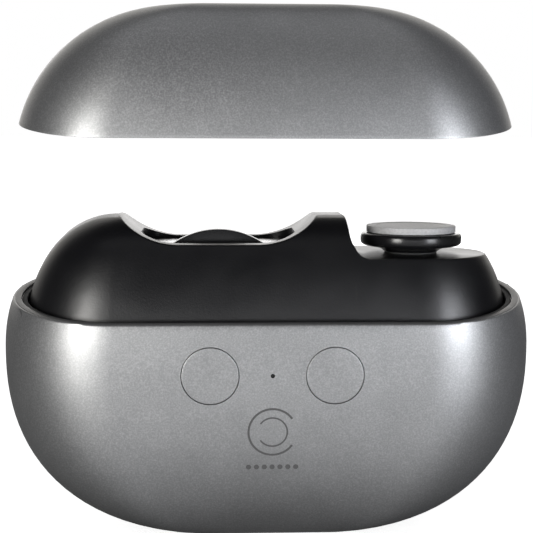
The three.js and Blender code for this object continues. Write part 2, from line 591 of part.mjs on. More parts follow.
// ---------------------------------------------------------------- finishing head
const coupler = turned(
  [[MOTOR.shaft + 0.03, 41.2], [3.2, 41.2], [3.2, 48.5], [AXLE + 0.03, 48.5], [AXLE + 0.03, 45.2],
    [MOTOR.shaft + 0.03, 45.2]], 24);
const collar = turned(
  [[AXLE + 0.03, 58.75], [5.75, 58.75], [5.95, 59.0], [6.5, 59.3], [7.4, 59.6], [8.8, 59.85], [10.0, 60.05],
    [10.45, 60.4], [HEAD.collarRadius, 60.9], [HEAD.collarRadius, 62.2], [10.25, 62.65], [AXLE + 0.03, 62.65]], 32);
const pad = turned(
  [[0, HEAD.padBottom], [HEAD.padRadius, HEAD.padBottom], [HEAD.padRadius, HEAD.padTop - 0.2],
    [HEAD.padRadius - 0.2, HEAD.padTop], [0, HEAD.padTop]], 32);
add("head_coupler", coupler, bronze, [HEAD.x, 0, 0]);
add("head_spindle", rod(AXLE, 45.3, 62.6), steel, [HEAD.x, 0, 0]);
add("head_collar", collar, blackGloss, [HEAD.x, 0, 0]);
add("head_pad", pad, greyPad, [HEAD.x, 0, 0]);

// ---------------------------------------------------------------- power and electronics
const cradle = cut(box(-22.2, 22.2, -10.2, 10.2, 4.5, 8.5), box(-21.3, 21.3, -9.3, 9.3, 5.2, 12));
add("battery_cradle", cradle, frameGrey);
add("battery_cell", plate(roundedRect(-21, 21, -9, 9, 1.6, 3), 5.3, 12.7), cellBlue);
add("main_board", plate(roundedRect(-27, 27, -9.5, 11.4, 2, 3), BOARD_Z, BOARD_Z + 1.0), boardGreen);
const socketSleeve = slab(roundedRect(-4.5, 4.5, SOCKET_Z - 1.6, SOCKET_Z + 1.6, 1.5), 11.0, 18.3);
const socketMouth = slab(roundedRect(-4.1, 4.1, SOCKET_Z - 1.2, SOCKET_Z + 1.2, 1.15), 12.5, 20);
add("charge_socket", cut(socketSleeve, socketMouth), steel);
for (const [side, label] of [[-1, "left"], [1, "right"]]) {
  const head = rod(2.2, SCREW_SEAT_Z - 1.7, SCREW_SEAT_Z - 0.1);
  const shank = rod(0.9, SCREW_SEAT_Z - 1, 38, 12);
  add("casing_screw_" + label, join(head, shank), steel, [side * POST_X, 0, 0]);
}

export default part;
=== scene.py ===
"""A pod-shaped rotary shaver: its outer pieces, finishes, studio and camera.

Pieces are modelled in millimetres and brought to metres when they are finished.
Z is up, and the front looks along -Y.
"""

import json
import math

import bmesh
import bpy
from mathutils import Matrix, Quaternion, Vector


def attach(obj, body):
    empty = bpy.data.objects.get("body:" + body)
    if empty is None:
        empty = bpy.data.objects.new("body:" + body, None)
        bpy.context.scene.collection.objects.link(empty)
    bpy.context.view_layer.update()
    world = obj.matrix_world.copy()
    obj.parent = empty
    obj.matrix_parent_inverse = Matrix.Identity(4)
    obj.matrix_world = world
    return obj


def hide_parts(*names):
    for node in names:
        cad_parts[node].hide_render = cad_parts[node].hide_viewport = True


MM = 0.001
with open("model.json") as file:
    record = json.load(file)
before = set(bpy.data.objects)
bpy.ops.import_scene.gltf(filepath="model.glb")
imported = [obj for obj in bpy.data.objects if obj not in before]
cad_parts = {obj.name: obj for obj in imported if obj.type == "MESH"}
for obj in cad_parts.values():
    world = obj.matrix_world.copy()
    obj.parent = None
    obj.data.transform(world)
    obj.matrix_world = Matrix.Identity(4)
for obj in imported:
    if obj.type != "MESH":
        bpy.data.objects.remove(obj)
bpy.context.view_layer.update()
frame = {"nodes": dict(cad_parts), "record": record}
nodes = frame["nodes"]

# ------------------------------------------------------------------ driving dimensions, mm
END_LENGTH = 1.1  # length of a stadium's rounded end over its half-depth
RING_STEPS = 128  # points round a shell
RIM_STEPS = 192  # points round the rim
TURN_STEPS = 96  # points round a turned piece
LARGE_TURN_STEPS = 128
WHEEL_STEPS = 160
MERGE = 0.0005  # points closer than this are one
POD = {"length": 55.0, "depth": 22.0, "belt": 38.3, "round": 2.3, "crown": 30.4, "floor": 0.4}
POD_FLAT = (15.0, 7.5)
POD_WALL = 2.0
POD_OUTSIDE_Y = 30.0  # cutters through the pod's front and back start here
MOUTH_Z = 50.35
MOUTH_SLOPE = math.tan(math.radians(10.1))
RIM = {"inner": 1.65, "outer": 0.33, "top": 0.03, "bottom": 1.3, "edge": 0.25}
SEAL_BAND = {"inner": 2.8, "outer": 1.8, "top": 0.4, "bottom": 1.3, "slit": 0.13}
BAND_CORNER = 0.2
SEAT = {"inset": 0.3, "above": -6.0, "below": 1.35}
LID = {"length": 52.0, "depth": 19.6, "below": 9.2, "height": 23.2, "round": 2.05}
LID_FLAT = (18.9, 7.0)
LID_WALL = 0.6
LID_AT = (-0.4, 0.0, 50.05 + 35.75)
DECK = {"length": 50.7, "depth": 17.5, "centre": 40.5, "top": 66.6, "skirt": 43.0, "round": 2.1}
DECK_FLAT = (31.2, 4.3)
DECK_WALL = 1.6
VALLEY = {"x": -10.5, "floor": 61.2, "flat": 8.0, "radius": 16.3, "steepest": math.radians(45.6)}
SHELF_Z = 58.4
STEP = {
    "wall": ((15.3, 66.8), (15.5, 66.25), (15.65, 65.4), (16.02, 62.7), (16.35, 61.5)),
    "centre": (20.1, 61.8),
    "radius": 3.4,
    "from": math.radians(200),
}
CREST_BLEND = 0.6  # how softly the saddle and the step run into the dome
POCKET = {"x": VALLEY["x"], "half": 15.8, "front": -9.2, "back": 9.2, "corner": 5.0}
WHEEL = {"x": VALLEY["x"], "z": 47.2, "radius": 16.4, "front": -4.4, "back": -1.8, "bore": 1.6}
WHEEL_GROOVE = {"inner": 5.0, "outer": 11.8, "slope": 0.3, "depth": 0.25}
HEAD_X = 30.2
HEAD_BORE = 3.4
COLLAR = [
    (1.53, 58.75),
    (5.75, 58.75),
    (5.95, 59.0),
    (6.5, 59.3),
    (7.4, 59.6),
    (8.8, 59.85),
    (10.0, 60.05),
    (10.45, 60.4),
    (10.6, 60.9),
    (10.6, 62.2),
    (10.25, 62.65),
    (1.53, 62.65),
]
PAD = [(0.0, 62.75), (9.35, 62.75), (9.35, 64.15), (7.6, 64.15), (7.4, 64.05), (0.0, 64.05)]
SHELF_SEAL = [(3.55, 58.43), (5.5, 58.43), (5.5, 58.65), (3.55, 58.65)]
BUTTON = {"x": 12.2, "z": 36.5, "radius": 5.6, "thick": 1.7, "gap": 0.12, "corner": 0.16}
PINHOLE = 0.42
LIGHT_TIP = [(0.0, -21.75), (0.2, -21.72), (0.3, -21.6), (0.3, -16.3), (0.0, -16.3)]
SOCKET = {"z": 15.9, "half_width": 4.7, "half_height": 1.8, "corner": 1.7}
SCREW = {"x": 43.0, "radius": 2.4, "top": 15.0}
FOOT = {"length": 14.0, "depth": 5.8, "height": 1.3, "side": 0.01, "corner": 0.45}
FOOT_SEAT = {"gap": 0.12, "top": 1.4}
MARK = {"z": 25.2, "sunk": 0.2, "proud": 0.015, "sweep": math.radians(290)}
DOTS = {"count": 7, "z": 17.9, "radius": 0.26, "width": 0.5, "pitch": 1.55}


# ------------------------------------------------------------------ modelling helpers
def select_only(*pieces):
    """Selects these objects and makes the first one active."""
    if bpy.context.object and bpy.context.object.mode != "OBJECT":
        bpy.ops.object.mode_set(mode="OBJECT")
    bpy.ops.object.select_all(action="DESELECT")
    for piece in pieces:
        piece.select_set(True)
    bpy.context.view_layer.objects.active = pieces[0]


def start(primitive, name, **settings):
    """Adds a primitive with nothing else selected, and names it."""
    if bpy.context.object and bpy.context.object.mode != "OBJECT":
        bpy.ops.object.mode_set(mode="OBJECT")
    bpy.ops.object.select_all(action="DESELECT")
    getattr(bpy.ops.mesh, f"primitive_{primitive}_add")(**settings)
    piece = bpy.context.object
    piece.name = piece.data.name = name
    bpy.ops.object.transform_apply(location=True, rotation=True, scale=True)
    return piece


def edit(piece, mode="FACE"):
    """Enters edit mode with nothing selected, and returns the mesh being edited."""
    select_only(piece)
    bpy.ops.object.mode_set(mode="EDIT")
    bpy.ops.mesh.select_mode(type=mode)
    bpy.ops.mesh.select_all(action="DESELECT")
    return bmesh.from_edit_mesh(piece.data)


def pick(piece, parts, wanted):
    """Selects the faces, edges or verts of the edited mesh that wanted() accepts."""
    for part in parts:
        if wanted(part):
            part.select_set(True)
    bmesh.update_edit_mesh(piece.data)


def leave():
    bpy.ops.object.mode_set(mode="OBJECT")


def modified(piece, kind, **settings):
    """Adds a modifier with these settings and applies it."""
    select_only(piece)
    modifier = piece.modifiers.new(kind.title(), kind)
    for key, value in settings.items():
        setattr(modifier, key, value)
    bpy.ops.object.modifier_apply(modifier=modifier.name)
    return piece


def carve(piece, *cutters, operation="DIFFERENCE"):
    """Cuts these bodies out of a piece, and removes them."""
    select_only(*cutters)
    if len(cutters) > 1:
        bpy.ops.object.join()
    cutter = cutters[0]
    modified(piece, "BOOLEAN", object=cutter, operation=operation, solver="EXACT")
    bpy.data.objects.remove(cutter, do_unlink=True)
    return piece


def loft(name, rings, closed=True, capped=True):
    """A skin through rings of points, laid over a grid. A ring's last point joins its first."""
    wide = len(rings[0]) + (1 if closed else 0)
    skin = start("grid", name, x_subdivisions=wide - 1, y_subdivisions=len(rings) - 1, size=1)
    for index, vertex in enumerate(skin.data.vertices):
        row, column = divmod(index, wide)
        vertex.co = rings[row][column % len(rings[row])]
    edit(skin, "EDGE")
    bpy.ops.mesh.select_all(action="SELECT")
    bpy.ops.mesh.remove_doubles(threshold=MERGE)
    if capped:
        bpy.ops.mesh.select_all(action="DESELECT")
        mesh = bmesh.from_edit_mesh(skin.data)
        pick(skin, mesh.edges, lambda edge: edge.is_boundary)
        bpy.ops.mesh.fill_holes(sides=0)
    bpy.ops.mesh.select_all(action="SELECT")
    bpy.ops.mesh.normals_make_consistent(inside=False)
    leave()
    return skin


def turned(name, profile, centre, axis="Z", steps=TURN_STEPS):
    """A body of revolution: profile points are (radius, distance along the axis)."""
    outline = start("circle", name, vertices=len(profile), fill_type="NOTHING")
    for vertex, (radius, along) in zip(outline.data.vertices, profile):
        vertex.co = (radius, 0, along)
    edit(outline, "VERT")
    bpy.ops.mesh.select_all(action="SELECT")
    bpy.ops.mesh.spin(steps=steps, angle=math.tau, center=(0, 0, 0), axis=(0, 0, 1))
    bpy.ops.mesh.select_all(action="SELECT")
    bpy.ops.mesh.remove_doubles(threshold=MERGE)
    bpy.ops.mesh.normals_make_consistent(inside=False)
    leave()
    if axis == "Y":
        outline.data.transform(Matrix.Rotation(-math.pi / 2, 4, "X"))
    outline.data.transform(Matrix.Translation(centre))
    return outline


def soft_corner(corner, before, after, steps=4):
    """Points of a rounded corner between two points on its sides."""
    points = []
    for step in range(steps + 1):
        t = step / steps
        points.append(
            tuple(
                (1 - t) ** 2 * a + 2 * t * (1 - t) * c + t * t * b
                for a, c, b in zip(before, corner, after)
            )
        )
    return points


def soft_profile(points, radius=0.2, steps=3):
    """A closed profile with its corners rounded, apart from those on the axis."""
    made = []
    for index, point in enumerate(points):
        previous, following = points[index - 1], points[(index + 1) % len(points)]
        if point[0] < 1e-6:
            made.append(point)
            continue
        sides = []
        for other in (previous, following):
            side_length = math.dist(point, other)
            share = min(radius, side_length * 0.45) / side_length
            sides.append(tuple(p + (o - p) * share for p, o in zip(point, other)))
        made += soft_corner(point, sides[0], sides[1], steps)
    return made


def stadium(length, depth, steps=RING_STEPS):
    """Outline with straight sides and rounded ends, (x, y) points."""
    end = END_LENGTH * depth
    straight = max(length - end, 0)
    points = []
    for side in (1, -1):
        for step in range(steps // 2):
            angle = -math.pi / 2 + math.pi * step / (steps // 2 - 1)
            points.append(
                (side * (straight + end * math.cos(angle)), side * depth * math.sin(angle))
            )
    return points


def width_share(v, power):
    """Width of a rounded profile: 1 at the belt, v 0, and 0 at the crown, v 1."""
    return max(0.0, 1 - min(1.0, abs(v)) ** power) ** (1 / power)


def blend(flat, full, share):
    """A size between the crown's flat and the belt."""
    return flat + (full - flat) * share


def pod_size(z):
    """Half-length and half-depth of the pod at a height."""
    reach = POD["belt"] - POD["floor"] if z < POD["belt"] else POD["crown"]
    share = width_share((z - POD["belt"]) / reach, POD["round"])
    return blend(POD_FLAT[0], POD["length"], share), blend(POD_FLAT[1], POD["depth"], share)


def lid_size(z):
    """Half-length and half-depth of the lid, z above its edge."""
    share = width_share((z + LID["below"]) / (LID["height"] + LID["below"]), LID["round"])
    return blend(LID_FLAT[0], LID["length"], share), blend(LID_FLAT[1], LID["depth"], share)


def deck_size(z):
    """Half-length and half-depth of the deck's uncut dome at a height."""
    share = width_share((z - DECK["centre"]) / (DECK["top"] - DECK["centre"]), DECK["round"])
    return blend(DECK_FLAT[0], DECK["length"], share), blend(DECK_FLAT[1], DECK["depth"], share)


def mouth_z(y, drop=0.0):
    """Height of the sloping mouth at y."""
    return MOUTH_Z + y * MOUTH_SLOPE - drop


def rim_ring(inset, drop, steps=RIM_STEPS):
    """Ring of points that follows the sloping rim, moved in and down."""
    ring = []
    for index in range(steps):
        point = (0.0, 0.0)
        for _ in range(6):
            length, depth = pod_size(mouth_z(point[1]))
            point = stadium(length - inset, depth - inset, steps)[index]
        ring.append((point[0], point[1], mouth_z(point[1], drop)))
    return ring


def rim_band(name, band):
    """A band round the rim with softened edges, sized by how far in and down its sides are."""
    inner, outer, top, bottom = band["inner"], band["outer"], band["top"], band["bottom"]
    section = soft_profile(
        [(outer, top), (outer, bottom), (inner, bottom), (inner, top)], BAND_CORNER
    )
    rings = [rim_ring(inset, drop) for inset, drop in section]
    return loft(name, [*rings, rings[0]], capped=False)


def levels(low, high, count, size_at):
    """Stadium rings between two heights, closer together towards high."""
    rings = []
    for step in range(count + 1):
        z = low + (high - low) * math.sin(math.pi / 2 * step / count)
        rings.append([(x, y, z) for x, y in stadium(*size_at(z))])
    return rings


def slit_box(name, low, high):
    """A plain cutter between two corners."""
    middle = [(a + b) / 2 for a, b in zip(low, high)]
    block = start("cube", name, size=1, location=middle)
    size = [b - a for a, b in zip(low, high)]
    for vertex in block.data.vertices:
        vertex.co = [m + (c - m) * s for c, m, s in zip(vertex.co, middle, size)]
    return block


def round_cutter(name, radius, low, high, axis="Z", steps=TURN_STEPS):
    """A cylinder between two points that differ only along its axis."""
    length = math.dist(low, high)
    middle = [(a + b) / 2 for a, b in zip(low, high)]
    turn = (math.pi / 2, 0, 0) if axis == "Y" else (0, 0, 0)
    return start(
        "cylinder",
        name,
        vertices=steps,
        radius=radius,
        depth=length,
        location=middle,
        rotation=turn,
    )


# ------------------------------------------------------------------ shader groups
def group(name, inputs, outputs):
    """A shader node group with its sockets, and its input and output nodes."""
    tree = bpy.data.node_groups.new(name, "ShaderNodeTree")
    for label, kind, value in inputs:
        socket = tree.interface.new_socket(label, in_out="INPUT", socket_type=f"NodeSocket{kind}")
        socket.default_value = value
    for label, kind in outputs:
        tree.interface.new_socket(label, in_out="OUTPUT", socket_type=f"NodeSocket{kind}")
    entry = tree.nodes.new("NodeGroupInput")
    leaving = tree.nodes.new("NodeGroupOutput")
    return tree, entry, leaving


def add_node(tree, kind, values=(), **settings):
    """A node with settings; values are (socket, value or output) pairs."""
    node = tree.nodes.new(f"ShaderNode{kind}")
    for key, value in settings.items():
        setattr(node, key, value)
    for key, value in values:
        socket = node.inputs[key]
        if isinstance(value, bpy.types.NodeSocket):
            tree.links.new(value, socket)
        else:
            socket.default_value = value
    return node


def colour_mix(tree, factor, first, second, mode="MIX"):
    node = add_node(tree, "Mix", data_type="RGBA", blend_type=mode)
    for index, value in ((0, factor), (6, first), (7, second)):
        if isinstance(value, bpy.types.NodeSocket):
            tree.links.new(value, node.inputs[index])
        else:
            node.inputs[index].default_value = value
    return node.outputs[2]


def span(tree, value, from_low, from_high, to_low, to_high):
    """The value, stretched from one range to another and held there."""
    node = add_node(
        tree,
        "MapRange",
        [(0, value), (1, from_low), (2, from_high), (3, to_low), (4, to_high)],
    )
    return node.outputs[0]


def noise(tree, place, scale, detail, **more):
    """Noise over the piece, about 0.5 with a spread of 0.2."""
    values = [("Vector", place), ("Scale", scale), ("Detail", detail), *more.items()]
    return add_node(tree, "TexNoise", values).outputs["Fac"]


def hand_out(tree, leaving, colour, roughness, height):
    """Links a surface group's three outputs."""
    tree.links.new(colour, leaving.inputs["Colour"])
    tree.links.new(roughness, leaving.inputs["Roughness"])
    tree.links.new(height, leaving.inputs["Height"])
    return tree


SURFACE_OUTPUTS = [("Colour", "Color"), ("Roughness", "Float"), ("Height", "Float")]


def make_flake_group():
    """Metallic flakes and a faint cloudiness under clear paint."""
    tree, entry, leaving = group(
        "flake_paint",
        [
            ("Colour", "Color", (0.5, 0.5, 0.5, 1)),
            ("Flake Colour", "Color", (0.7, 0.7, 0.7, 1)),
            ("Flake Scale", "Float", 3000.0),
            ("Roughness", "Float", 0.4),
        ],
        SURFACE_OUTPUTS,
    )
    place = add_node(tree, "TexCoord").outputs["Object"]
    flakes = noise(tree, place, entry.outputs["Flake Scale"], 3.0, Roughness=0.7)
    clouds = noise(tree, place, 120.0, 2.0)
    glint = span(tree, flakes, 0.42, 0.72, 0.0, 1.0)
    toned = colour_mix(tree, glint, entry.outputs["Colour"], entry.outputs["Flake Colour"])
    shade = span(tree, clouds, 0.3, 0.7, 0.96, 1.04)
    clouded = add_node(tree, "VectorMath", [(0, toned)], operation="SCALE")
    tree.links.new(shade, clouded.inputs["Scale"])
    spread = span(tree, flakes, 0.3, 0.7, -0.05, 0.05)
    rough = add_node(tree, "Math", [(0, entry.outputs["Roughness"]), (1, spread)], operation="ADD")
    return hand_out(tree, leaving, clouded.outputs[0], rough.outputs[0], flakes)


def make_grain_group():
    """Moulded plastic: a fine spark-eroded grain, uneven gloss and paler worn edges."""
    tree, entry, leaving = group(
        "moulded_grain",
        [
            ("Colour", "Color", (0.1, 0.1, 0.1, 1)),
            ("Edge Colour", "Color", (0.2, 0.2, 0.2, 1)),
            ("Grain Scale", "Float", 2500.0),
            ("Roughness", "Float", 0.45),
            ("Gloss Change", "Float", 0.06),
        ],
        SURFACE_OUTPUTS,
    )
    place = add_node(tree, "TexCoord").outputs["Object"]
    grain = noise(tree, place, entry.outputs["Grain Scale"], 2.0, Roughness=0.6)
    smears = noise(tree, place, 90.0, 4.0)
    edges = span(tree, add_node(tree, "NewGeometry").outputs["Pointiness"], 0.53, 0.62, 0.0, 0.6)
    tint = span(tree, grain, 0.3, 0.7, 0.9, 1.1)
    speckled = add_node(tree, "VectorMath", [(0, entry.outputs["Colour"])], operation="SCALE")
    tree.links.new(tint, speckled.inputs["Scale"])
    worn = colour_mix(tree, edges, speckled.outputs[0], entry.outputs["Edge Colour"])
    smeared = span(tree, smears, 0.3, 0.7, -1.0, 1.0)
    change = add_node(
        tree, "Math", [(0, smeared), (1, entry.outputs["Gloss Change"])], operation="MULTIPLY"
    )
    rough = add_node(
        tree, "Math", [(0, entry.outputs["Roughness"]), (1, change.outputs[0])], operation="ADD"
    )
    return hand_out(tree, leaving, worn, rough.outputs[0], grain)


def make_brushed_group():
    """Brushed or turned metal: fine streaks across one direction."""
    tree, entry, leaving = group(
        "brushed_streaks",
        [
            ("Colour", "Color", (0.6, 0.6, 0.6, 1)),
            ("Dark Colour", "Color", (0.4, 0.4, 0.4, 1)),
            ("Streaks", "Vector", (300.0, 300.0, 9000.0)),
            ("Roughness", "Float", 0.3),
        ],
        SURFACE_OUTPUTS,
    )
    place = add_node(tree, "TexCoord").outputs["Object"]
    stretched = add_node(
        tree, "VectorMath", [(0, place), (1, entry.outputs["Streaks"])], operation="MULTIPLY"
    )
    streaks = noise(tree, stretched.outputs[0], 1.0, 3.0)
    bright = span(tree, streaks, 0.35, 0.7, 0.0, 1.0)
    toned = colour_mix(tree, bright, entry.outputs["Dark Colour"], entry.outputs["Colour"])
    spread = span(tree, streaks, 0.3, 0.7, 0.06, -0.06)
    rough = add_node(tree, "Math", [(0, entry.outputs["Roughness"]), (1, spread)], operation="ADD")
    return hand_out(tree, leaving, toned, rough.outputs[0], streaks)


def finish_material(name, surface, values, bump, distance, **shader):
    """A Principled material fed by one shader group: colour, roughness and a bump of its height."""
    material = bpy.data.materials.new(name)
    material.use_nodes = True
    tree = material.node_tree
    principled = tree.nodes["Principled BSDF"]
    for key, value in shader.items():
        principled.inputs[key.replace("_", " ")].default_value = value
    detail = tree.nodes.new("ShaderNodeGroup")
    detail.node_tree = surface
    for key, value in values.items():
        detail.inputs[key].default_value = value
    tree.links.new(detail.outputs["Colour"], principled.inputs["Base Color"])
    tree.links.new(detail.outputs["Roughness"], principled.inputs["Roughness"])
    relief = add_node(tree, "Bump", [("Strength", bump), ("Distance", distance)])
    tree.links.new(detail.outputs["Height"], relief.inputs["Height"])
    tree.links.new(relief.outputs["Normal"], principled.inputs["Normal"])
    return material


flake_group = make_flake_group()
grain_group = make_grain_group()
brushed_group = make_brushed_group()
GRAIN_DEPTH = 0.00005  # metres, as are the other two
BRUSH_DEPTH = 0.00002
FLAKE_DEPTH = 0.00004


def rgba(red, green, blue):
    return (red, green, blue, 1.0)


def grained(name, colour, edge, roughness, scale=2500.0, change=0.05, bump=0.15, **shader):
    values = {
        "Colour": rgba(*colour),
        "Edge Colour": rgba(*edge),
        "Grain Scale": scale,
        "Roughness": roughness,
        "Gloss Change": change,
    }
    return finish_material(name, grain_group, values, bump, GRAIN_DEPTH, **shader)


def brushed(name, colour, dark, roughness, streaks=(300.0, 300.0, 9000.0)):
    values = {
        "Colour": rgba(*colour),
        "Dark Colour": rgba(*dark),
        "Streaks": streaks,
        "Roughness": roughness,
    }
    return finish_material(name, brushed_group, values, 0.1, BRUSH_DEPTH, Metallic=1.0)


silver_paint = finish_material(
    "silver_paint",
    flake_group,
    {
        "Colour": rgba(0.40, 0.405, 0.41),
        "Flake Colour": rgba(0.58, 0.585, 0.59),
        "Flake Scale": 3200.0,
        "Roughness": 0.43,
    },
    0.22,
    FLAKE_DEPTH,
    Metallic=0.85,
    Coat_Weight=0.12,
    Coat_Roughness=0.25,
)
ring_trim = grained("ring_trim", (0.17, 0.17, 0.17), (0.25, 0.25, 0.25), 0.34)
deck_black = grained(
    "deck_black",
    (0.003, 0.003, 0.004),
    (0.012, 0.012, 0.012),
    0.36,
    bump=0.6,
    Specular_IOR_Level=0.85,
)
gloss_black = grained("gloss_black", (0.010, 0.010, 0.011), (0.03, 0.03, 0.03), 0.24, bump=0.05)
grey_pad = grained("grey_pad", (0.58, 0.58, 0.585), (0.57, 0.57, 0.57), 0.5, scale=1800.0, bump=0.3)
gasket_rubber = grained(
    "gasket_rubber", (0.10, 0.10, 0.10), (0.14, 0.14, 0.14), 0.72, scale=3500.0, bump=0.3
)
mark_grey = grained("mark_grey", (0.09, 0.09, 0.09), (0.12, 0.12, 0.12), 0.5)
frame_grey = grained("frame_grey", (0.10, 0.11, 0.12), (0.2, 0.2, 0.21), 0.55)
acetal_white = grained("acetal_white", (0.78, 0.77, 0.71), (0.85, 0.84, 0.8), 0.5, bump=0.08)
board_green = grained(
    "board_green", (0.015, 0.10, 0.045), (0.05, 0.2, 0.1), 0.4, scale=900.0, change=0.12
)
cell_blue = grained("cell_blue", (0.03, 0.09, 0.30), (0.08, 0.16, 0.4), 0.35, scale=600.0)
smoked_light = grained("smoked_light", (0.012, 0.012, 0.013), (0.05, 0.05, 0.05), 0.15, bump=0.02)
bright_steel = brushed("bright_steel", (0.62, 0.62, 0.63), (0.45, 0.45, 0.46), 0.28)
sintered_bronze = brushed("sintered_bronze", (0.52, 0.33, 0.14), (0.35, 0.21, 0.08), 0.4)

CAD_FINISH = {
    "silver_paint": silver_paint,
    "ring_trim": ring_trim,
    "deck_plastic": deck_black,
    "gloss_black": gloss_black,
    "grey_pad": grey_pad,
    "rubber": gasket_rubber,
    "steel": bright_steel,
    "bronze": sintered_bronze,
    "frame_plastic": frame_grey,
    "acetal": acetal_white,
    "circuit_board": board_green,
    "cell_wrap": cell_blue,
    "light_pipe": smoked_light,
}
for entry in frame["record"]["subparts"]:
    materials = nodes[entry["node"]].data.materials
    materials.clear()
    materials.append(CAD_FINISH[entry["material_slot"]])


def finished(piece, body, slot_name, *replaced, material=None, angle=32):
    """Brings a piece to metres, gives it its finish and its body, and hides the nodes it stands for.
    """
    piece.data.transform(Matrix.Scale(MM, 4))
    select_only(piece)
    bpy.ops.object.shade_smooth_by_angle(angle=math.radians(angle))
    piece.data.materials.clear()
    piece.data.materials.append(material or CAD_FINISH[slot_name])
    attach(piece, body)
    if replaced:
        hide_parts(*replaced)
    return piece


# ------------------------------------------------------------------ casing
def front_y(z):
    """Y of the casing's flat front at a height."""
    return -pod_size(z)[1]


def open_at(piece, height, keep_above=False):
    """Cuts the piece along the mouth's slope through a height, and leaves it open there."""
    edit(piece)
    bpy.ops.mesh.select_all(action="SELECT")
    bpy.ops.mesh.bisect(
        plane_co=(0, 0, height),
        plane_no=(0, -MOUTH_SLOPE, 1),
        clear_outer=not keep_above,
        clear_inner=keep_above,
        use_fill=False,
    )
    leave()


def front_hole(name, x, radius, steps=TURN_STEPS):
    """A cutter for a round hole in the casing's front, at the buttons' height."""
    outside, inside = (x, -POD_OUTSIDE_Y, BUTTON["z"]), (x, -12, BUTTON["z"])
    return round_cutter(name, radius, outside, inside, "Y", steps)


def make_port():
    """A cutter for the charge port: a slot with round ends, through the back."""
    half_width, half_height = SOCKET["half_width"], SOCKET["half_height"]
    low = (-half_width, 12, SOCKET["z"] - half_height)
    port = slit_box("port", low, (half_width, POD_OUTSIDE_Y, SOCKET["z"] + half_height))
    mesh = edit(port, "EDGE")
    pick(port, mesh.edges, lambda edge: abs(edge.verts[0].co.y - edge.verts[1].co.y) > 5)
    bpy.ops.mesh.bevel(offset=SOCKET["corner"], segments=10, affect="EDGES")
    leave()
    return port


def make_casing():
    """The pod's shell, open at its mouth, with a seat for the rim and holes for what it carries."""
    down = levels(POD["belt"], POD["floor"], 26, pod_size)[::-1]
    up = levels(POD["belt"], 58.0, 18, pod_size)[1:]
    shell = loft("casing", down + up)
    open_at(shell, MOUTH_Z)
    modified(
        shell,
        "SOLIDIFY",
        thickness=POD_WALL,
        offset=-1.0,
        use_even_offset=True,
        use_quality_normals=True,
    )
    mesh = edit(shell, "EDGE")
    pick(
        shell,
        mesh.edges,
        lambda edge: all(abs(v.co.z - mouth_z(v.co.y)) < 1e-3 for v in edge.verts),
    )
    bpy.ops.mesh.bevel(offset=RIM["edge"], segments=3, affect="EDGES")
    leave()
    tools = [
        loft("seat", [rim_ring(SEAT["inset"], drop) for drop in (SEAT["above"], SEAT["below"])])
    ]
    for side in (-1, 1):
        tools.append(front_hole("hole", side * BUTTON["x"], BUTTON["radius"] + BUTTON["gap"]))
        below, top = (side * SCREW["x"], 0, -2), (side * SCREW["x"], 0, SCREW["top"])
        tools.append(round_cutter("screw_hole", SCREW["radius"], below, top, steps=48))
    tools.append(front_hole("pinhole", 0, PINHOLE, 32))
    tools.append(make_port())
    foot = stadium(FOOT["length"] + FOOT_SEAT["gap"], FOOT["depth"] + FOOT_SEAT["gap"])
    tools.append(loft("foot_seat", [[(x, y, z) for x, y in foot] for z in (-3.0, FOOT_SEAT["top"])]))
    return carve(shell, *tools)


finished(make_casing(), "pod", "silver_paint", "base_shell")
finished(rim_band("rim_trim", RIM), "pod", "ring_trim", "rim_ring")


def make_gasket():
    """The band inside the rim, slit at its left end."""
    band = rim_band("seal_band", SEAL_BAND)
    slit = SEAL_BAND["slit"]
    return carve(band, slit_box("slit", (-60, -slit, 40), (-40, slit, 56)))


finished(make_gasket(), "pod", "rubber", "rim_gasket")


def make_foot():
    """A pad under the pod, with a shallow groove inside its edge."""
    side, height = FOOT["side"], FOOT["height"]
    outline = soft_profile([(side, height), (side, 0.0), (6.0, 0.0)], FOOT["corner"])[:-4]
    rings = []
    for inset, z in outline:
        ring = stadium(FOOT["length"] - inset, FOOT["depth"] - inset)
        rings.append([(x, y, z) for x, y in ring])
    foot = loft("foot_pad", rings)
    mesh = edit(foot)
    pick(foot, mesh.faces, lambda face: face.normal.z < -0.9 and len(face.verts) > 8)
    bpy.ops.mesh.inset(thickness=0.8, depth=0)
    bpy.ops.mesh.inset(thickness=0.25, depth=-0.15)
    leave()
    return foot


finished(make_foot(), "pod", "rubber", "base_foot")


def make_lid():
    """The lid is modelled with its edge's middle at height 0, then lifted to its place."""
    lid = loft("lid_cover", levels(-7.0, LID["height"], 34, lid_size))
    open_at(lid, 0, keep_above=True)
    modified(lid, "SOLIDIFY", thickness=LID_WALL, offset=-1.0, use_even_offset=True)
    lid.data.transform(Matrix.Translation(LID_AT))
    return modified(
        lid, "BEVEL", width=0.14, segments=2, limit_method="ANGLE", angle_limit=math.radians(50)
    )


finished(make_lid(), "lid", "silver_paint", "lid_shell")


# ------------------------------------------------------------------ deck
def smooth_min(first, second, reach):
    """The lower of two heights, with a soft change from one to the other."""
    mixed = max(reach - abs(first - second), 0) / reach
    return min(first, second) - mixed * mixed * reach / 4


def valley_z(x):
    """Height of the saddle that runs from front to back."""
    out = abs(x - VALLEY["x"]) - VALLEY["flat"]
    if out <= 0:
        return VALLEY["floor"]
    radius, last = VALLEY["radius"], VALLEY["radius"] * math.sin(VALLEY["steepest"])
    if out < last:
        return VALLEY["floor"] + radius - math.sqrt(radius**2 - out**2)
    rise = radius * (1 - math.cos(VALLEY["steepest"]))
    return VALLEY["floor"] + rise + (out - last) * math.tan(VALLEY["steepest"])


